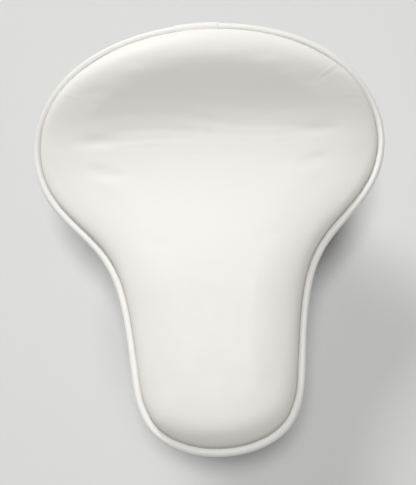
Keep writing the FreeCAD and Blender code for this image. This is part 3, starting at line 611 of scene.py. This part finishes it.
CLOTH_VOXEL = 5 * MM
CLOTH_FRAMES = 20
CLOTH_REACH = 0.6 * MM              # the furthest a point of the cover may move
CLOTH_PRESSURE = 4
CLOTH_BENDING = 0.2
CLOTH_QUALITY = 4
CLOTH_FREE = (6 * MM, 14 * MM)      # insets between which the cover comes loose
CLOTH_DEEP = (2 * MM, 6 * MM)       # depths under the top between which it is held again
CLOTH_NEIGHBOURS = 8                # points of the cloth that move one point of the cushion
CLOTH_BLUR = 0.8 * CLOTH_VOXEL


def settle(piece):
    """Blows the cover up a little as cloth, held at its seam, and moves the cushion with it."""
    cloth = voxel_copy(piece)
    start = mesh_points(cloth)
    hold(cloth, start)
    moved = blow_up(cloth) - start
    bpy.data.objects.remove(cloth)
    length = np.linalg.norm(moved, axis=1)
    capped = CLOTH_REACH * np.tanh(length / CLOTH_REACH)
    moved *= (capped / np.maximum(length, 1e-9))[:, None]
    tree = KDTree(len(start))
    for i, point in enumerate(start):
        tree.insert(point, i)
    tree.balance()
    points = mesh_points(piece)
    for i, point in enumerate(points):
        near = tree.find_n(point, CLOTH_NEIGHBOURS)
        weights = np.exp(-(np.array([gap for _, _, gap in near]) / CLOTH_BLUR) ** 2)
        points[i] += weights @ moved[[k for _, k, _ in near]] / weights.sum()
    piece.data.vertices.foreach_set("co", points.ravel())
    piece.data.update()


def evaluated(piece):
    return piece.evaluated_get(bpy.context.evaluated_depsgraph_get())


def voxel_copy(piece):
    """A coarse copy of the cushion with even faces."""
    cloth = bpy.data.objects.new("cover_cloth", piece.data.copy())
    bpy.context.scene.collection.objects.link(cloth)
    remesh = cloth.modifiers.new("Remesh", "REMESH")
    remesh.mode = "VOXEL"
    remesh.voxel_size = CLOTH_VOXEL
    coarse = bpy.data.meshes.new_from_object(evaluated(cloth))
    cloth.modifiers.clear()
    cloth.data = coarse
    return cloth


def hold(cloth, points):
    """Holds the cloth at the seam and underneath."""
    inset = distance_to_edge(points[:, :2])
    drop = cushion_height(points[:, :2]) - points[:, 2]
    loose = smooth(*CLOTH_FREE, inset) * (1 - smooth(*CLOTH_DEEP, drop))
    held = cloth.vertex_groups.new(name="held")
    for i, share in enumerate(loose):
        held.add([i], float(1 - share), "REPLACE")


def blow_up(cloth):
    """The cloth's points after some frames of pressure without gravity."""
    modifier = cloth.modifiers.new("Cloth", "CLOTH")
    settings = modifier.settings
    settings.vertex_group_mass = "held"
    settings.use_pressure = True
    settings.uniform_pressure_force = CLOTH_PRESSURE
    settings.effector_weights.gravity = 0
    settings.quality = CLOTH_QUALITY
    settings.bending_stiffness = CLOTH_BENDING
    modifier.collision_settings.use_collision = False
    modifier.point_cache.frame_start = 1
    modifier.point_cache.frame_end = CLOTH_FRAMES
    for number in range(1, CLOTH_FRAMES + 1):
        bpy.context.scene.frame_set(number)
    points = np.array([v.co for v in evaluated(cloth).data.vertices])
    bpy.context.scene.frame_set(1)
    return points


def merge(piece, distance):
    """Joins points that lie together, and turns every face outward."""
    work = bmesh.new()
    work.from_mesh(piece.data)
    bmesh.ops.remove_doubles(work, verts=work.verts, dist=distance)
    bmesh.ops.recalc_face_normals(work, faces=work.faces)
    work.to_mesh(piece.data)
    work.free()
    piece.data.update()


WELT_SIDES = 24


def make_welt():
    """The round piping, darkened by grime and painted shade where it meets the cover."""
    path = ring(WELT_RADIUS, WELT_RISE)
    piece = tube("piping", path, WELT_RADIUS, WELT_SIDES, MATERIALS["welt"], closed=True)
    inset = distance_to_edge(mesh_points(piece)[:, :2])
    # paints shade, with some grime, on the piping's side against the cover
    paint_grime_and_shade(piece, WELT_GRIME_AND_SHADE * smooth(*WELT_GRIME_AND_SHADE_TURN, inset))
    return piece


SLEEVE_LOW, SLEEVE_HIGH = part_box("welt_joint_wrap")
SLEEVE_THICKNESS = 0.6 * MM
SLEEVE_ROUNDING = 0.5 * MM          # length over which its ends run down to the piping
SLEEVE_STEPS = 401


def make_sleeve():
    """A short strip of vinyl wrapped over the piping's joined ends."""
    steps = np.linspace(-0.5, 0.5, SLEEVE_STEPS)
    path = ring(WELT_RADIUS, WELT_RISE, np.where(steps < 0, steps + len(POLES), steps))
    path = path[np.argsort(path[:, 0])]
    path = path[(path[:, 0] > SLEEVE_LOW.x) & (path[:, 0] < SLEEVE_HIGH.x)]
    end = np.minimum(path[:, 0] - path[0, 0], path[-1, 0] - path[:, 0])
    radii = WELT_RADIUS + SLEEVE_THICKNESS * np.clip(end / SLEEVE_ROUNDING, 0.05, 1) ** 0.5
    return tube("piping_sleeve", path, radii, WELT_SIDES, MATERIALS["welt"])


# The side strip's section, in millimetres: (inset, rise above the pan's underside). It runs
# down outside, in under the pan, round the hem's free edge and back up inside.
SIDE_STRIP = (
    (5.6, 17.6), (5.0, 17.0), (4.75, 14.0), (4.6, 10.0), (4.65, 6.0), (4.8, 2.5), (5.0, 0.6),
    (5.5, -0.6), (6.4, -1.1), (8.0, -1.2), (11.0, -1.2), (15.0, -1.2), (18.4, -1.2),
    (19.0, -0.9), (19.0, -0.4), (18.4, -0.1),
    (12.0, -0.1), (7.6, -0.1), (6.4, 0.4), (6.1, 1.4), (5.9, 6.0), (5.8, 10.0), (6.0, 16.5),
)
HEM_PLEAT = 0.35 * MM
PLEATS_PER_RADIAN = 38              # waves for each radian that the edge turns
PLEAT_INSET = (5, 7)                # millimetres of inset between which the pleats rise
PLEAT_RISE = (-0.3, -1.1)           # and millimetres of rise


def make_side_band():
    """The cover's side strip, a little full, with its hem turned under the pan."""
    levels = [ring(inset * MM, rise * MM) for inset, rise in SIDE_STRIP]
    # the hem is gathered into small pleats wherever the edge turns
    ahead = np.roll(levels[0], -1, axis=0) - np.roll(levels[0], 1, axis=0)
    turned = np.unwrap(np.arctan2(ahead[:, 1], ahead[:, 0]))
    waves = np.sin(PLEATS_PER_RADIAN * turned + 2 * np.sin(3 * turned))
    pleats = HEM_PLEAT * np.maximum(0, waves)
    for level, (inset, rise) in zip(levels, SIDE_STRIP):
        level[:, 2] -= pleats * smooth(*PLEAT_RISE, rise) * smooth(*PLEAT_INSET, inset)
    faces = strips(len(levels), AROUND, wrap_rows=True)
    piece = mesh_object("side_strip", np.vstack(levels), faces, MATERIALS["vinyl"])
    merge(piece, 0.001 * MM)
    return piece


# ------------------------------------------------------------------ springs

SPRING_X, SPRING_Y = 56 * MM, 80 * MM
SPRING_FOOT, SPRING_HEAD = 9.1 * MM, 62.4 * MM
SPRING_TURNS = 6.5
SPRING_WIRE = 4.5 * MM
SPRING_MEAN = 16 * MM       # radius of the wire's middle line
SPRING_CLOSED = 0.85        # part of a turn that lies flat at each end
SPRING_PITCH_SHARE = 0.55   # how far this part climbs, against the wire's thickness
SPRING_STEPS = 48           # points on each turn
SPRING_SIDES = 16
SPRING_EASING = 25          # points over which the climb is evened out
SPRING_TAPER = 0.12         # part of a turn over which the wire's ends are ground down
SPRING_TIP = 0.55           # what is left of the wire's radius at its ends


def make_coil(name, x):
    """A compression spring with closed, squared end turns."""
    turns = np.linspace(0, SPRING_TURNS, int(SPRING_TURNS * SPRING_STEPS) + 1)
    low, high = SPRING_FOOT + SPRING_WIRE / 2, SPRING_HEAD - SPRING_WIRE / 2
    end_climb = SPRING_PITCH_SHARE * SPRING_WIRE / (high - low)
    share = np.clip((turns - SPRING_CLOSED) / (SPRING_TURNS - 2 * SPRING_CLOSED), 0, 1)
    first = turns / SPRING_CLOSED * end_climb
    last = 1 - (SPRING_TURNS - turns) / SPRING_CLOSED * end_climb
    between = end_climb + share * (1 - 2 * end_climb)
    climb = np.where(turns > SPRING_TURNS - SPRING_CLOSED, last, between)
    climb = np.where(turns < SPRING_CLOSED, first, climb)
    kernel = np.hanning(SPRING_EASING)
    kernel /= kernel.sum()
    climb = np.convolve(np.pad(climb, SPRING_EASING // 2, mode="edge"), kernel, "valid")
    hand = 1 if x > 0 else -1
    angle = 2 * math.pi * turns * hand
    path = np.column_stack([
        x + SPRING_MEAN * np.cos(angle),
        SPRING_Y + SPRING_MEAN * np.sin(angle),
        low + (high - low) * climb,
    ])
    end = np.minimum(turns, SPRING_TURNS - turns)
    taper = SPRING_TIP + (1 - SPRING_TIP) * np.clip(end / SPRING_TAPER, 0, 1) ** 0.5
    return tube(name, path, SPRING_WIRE / 2 * taper, SPRING_SIDES, MATERIALS["spring"])


# ------------------------------------------------------------------ camera, floor and light

# The view, fitted by a script to the seat's outline in the photograph.
CAMERA_TARGET = (-2.53 * MM, -23.60 * MM, 85.0 * MM)
CAMERA_PITCH = 18.39        # degrees from straight above toward the nose
CAMERA_YAW = 1.956          # degrees toward the right
CAMERA_ROLL = -2.497
CAMERA_DISTANCE = 0.45
LENS, SENSOR = 49.83, 36    # millimetres


def make_camera():
    """The photograph's view: from above, a little towards the nose and to the right."""
    target = Vector(CAMERA_TARGET)
    pitch, yaw, roll = (math.radians(a) for a in (CAMERA_PITCH, CAMERA_YAW, CAMERA_ROLL))
    back = Vector((math.sin(yaw) * math.cos(pitch), -math.sin(pitch), math.cos(pitch) * math.cos(yaw)))
    back.normalize()
    right = Vector((0, 1, 0)).cross(back).normalized()
    up = back.cross(right)
    across = right * math.cos(roll) + up * math.sin(roll)
    upward = up * math.cos(roll) - right * math.sin(roll)
    data = bpy.data.cameras.new("camera")
    data.lens = LENS
    data.sensor_width = SENSOR
    data.clip_start, data.clip_end = 0.01, 100
    camera = bpy.data.objects.new("camera", data)
    bpy.context.scene.collection.objects.link(camera)
    turned = Matrix(np.array([across, upward, back]).T.tolist()).to_4x4()
    camera.matrix_world = Matrix.Translation(target + back * CAMERA_DISTANCE) @ turned
    bpy.context.scene.camera = camera


FLOOR_RADIUS = 9.0
FLOOR_SIDES = 128
FLOOR_GAP = 0.2 * MM        # between the floor and the saddle's lowest point


def make_floor():
    """A pale round floor."""
    finish = Finish("pale_floor", (0.72, 0.72, 0.71), roughness=0.8, Specular_IOR_Level=0.2)
    finish.tint(finish.spread(finish.noise(0.25, detail=3), low=0.0, high=0.3), (0.69, 0.69, 0.685))
    turn = np.linspace(0, 2 * math.pi, FLOOR_SIDES, endpoint=False)
    level = np.full(FLOOR_SIDES, CAD_BOX[0].z - FLOOR_GAP)
    points = np.column_stack([FLOOR_RADIUS * np.cos(turn), FLOOR_RADIUS * np.sin(turn), level])
    mesh_object("floor", points, [tuple(range(FLOOR_SIDES))], finish.material)


# Lamps: name, degrees round from the rear, degrees up, diameter in metres, watts. The key
# lamp's direction follows the same fit.
LAMPS = (
    ("key", 24, 34, 3.2, 372),
    ("top", 0, 90, 3.0, 412),
)
LAMP_DISTANCE = 8.0
LAMP_TARGET = (0, 0, 80 * MM)
SKY_COLOUR = (1.0, 0.965, 0.93, 1)
SKY_TURN = (0.02, 0.34)     # heights on the unit sphere between which the sky dims
SKY_LOW, SKY_TOP = 0.42, 0.02       # its strength near the horizon and overhead


def make_lamp(name, azimuth, height, size, power):
    """A round lamp that shines on the saddle's middle."""
    turn, lift = math.radians(azimuth), math.radians(height)
    toward = Vector((-math.sin(turn) * math.cos(lift), math.cos(turn) * math.cos(lift), math.sin(lift)))
    data = bpy.data.lights.new(name, "AREA")
    data.shape = "DISK"
    data.size = size
    data.energy = power
    light = bpy.data.objects.new(name, data)
    light.location = Vector(LAMP_TARGET) + toward * LAMP_DISTANCE
    light.rotation_mode = "QUATERNION"
    light.rotation_quaternion = (-toward).to_track_quat("-Z", "Y")
    bpy.context.scene.collection.objects.link(light)


def make_sky():
    """Pale near the horizon and dim overhead, so that the lamps shape the cushion."""
    world = bpy.data.worlds.new("studio")
    world.use_nodes = True
    tree = world.node_tree
    way = tree.nodes.new("ShaderNodeTexCoord")
    parts = tree.nodes.new("ShaderNodeSeparateXYZ")
    fade = tree.nodes.new("ShaderNodeMapRange")
    fade.interpolation_type = "SMOOTHSTEP"
    for socket, number in zip(("From Min", "From Max", "To Min", "To Max"),
                              (*SKY_TURN, SKY_LOW, SKY_TOP)):
        fade.inputs[socket].default_value = number
    background = tree.nodes["Background"]
    tree.links.new(way.outputs["Generated"], parts.inputs[0])
    tree.links.new(parts.outputs["Z"], fade.inputs["Value"])
    tree.links.new(fade.outputs["Result"], background.inputs["Strength"])
    background.inputs["Color"].default_value = SKY_COLOUR
    bpy.context.scene.world = world


# ------------------------------------------------------------------ the whole saddle

def main():
    dress_cad_nodes()
    cushion = make_cushion()
    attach(cushion, "seat")
    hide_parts("cover_top", "foam_pad")
    welt = make_welt()
    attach(welt, "seat")
    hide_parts("welt_piping")
    sleeve = make_sleeve()
    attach(sleeve, "seat")
    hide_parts("welt_joint_wrap")
    band = make_side_band()
    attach(band, "seat")
    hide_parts("side_band")
    for side, x in (("left", -SPRING_X), ("right", SPRING_X)):
        coil = make_coil("coil_" + side, x)
        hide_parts("spring_" + side)
        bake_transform(coil)
    make_camera()
    make_floor()
    for lamp in LAMPS:
        make_lamp(*lamp)
    make_sky()
    bpy.context.scene.view_settings.view_transform = "Standard"


main()
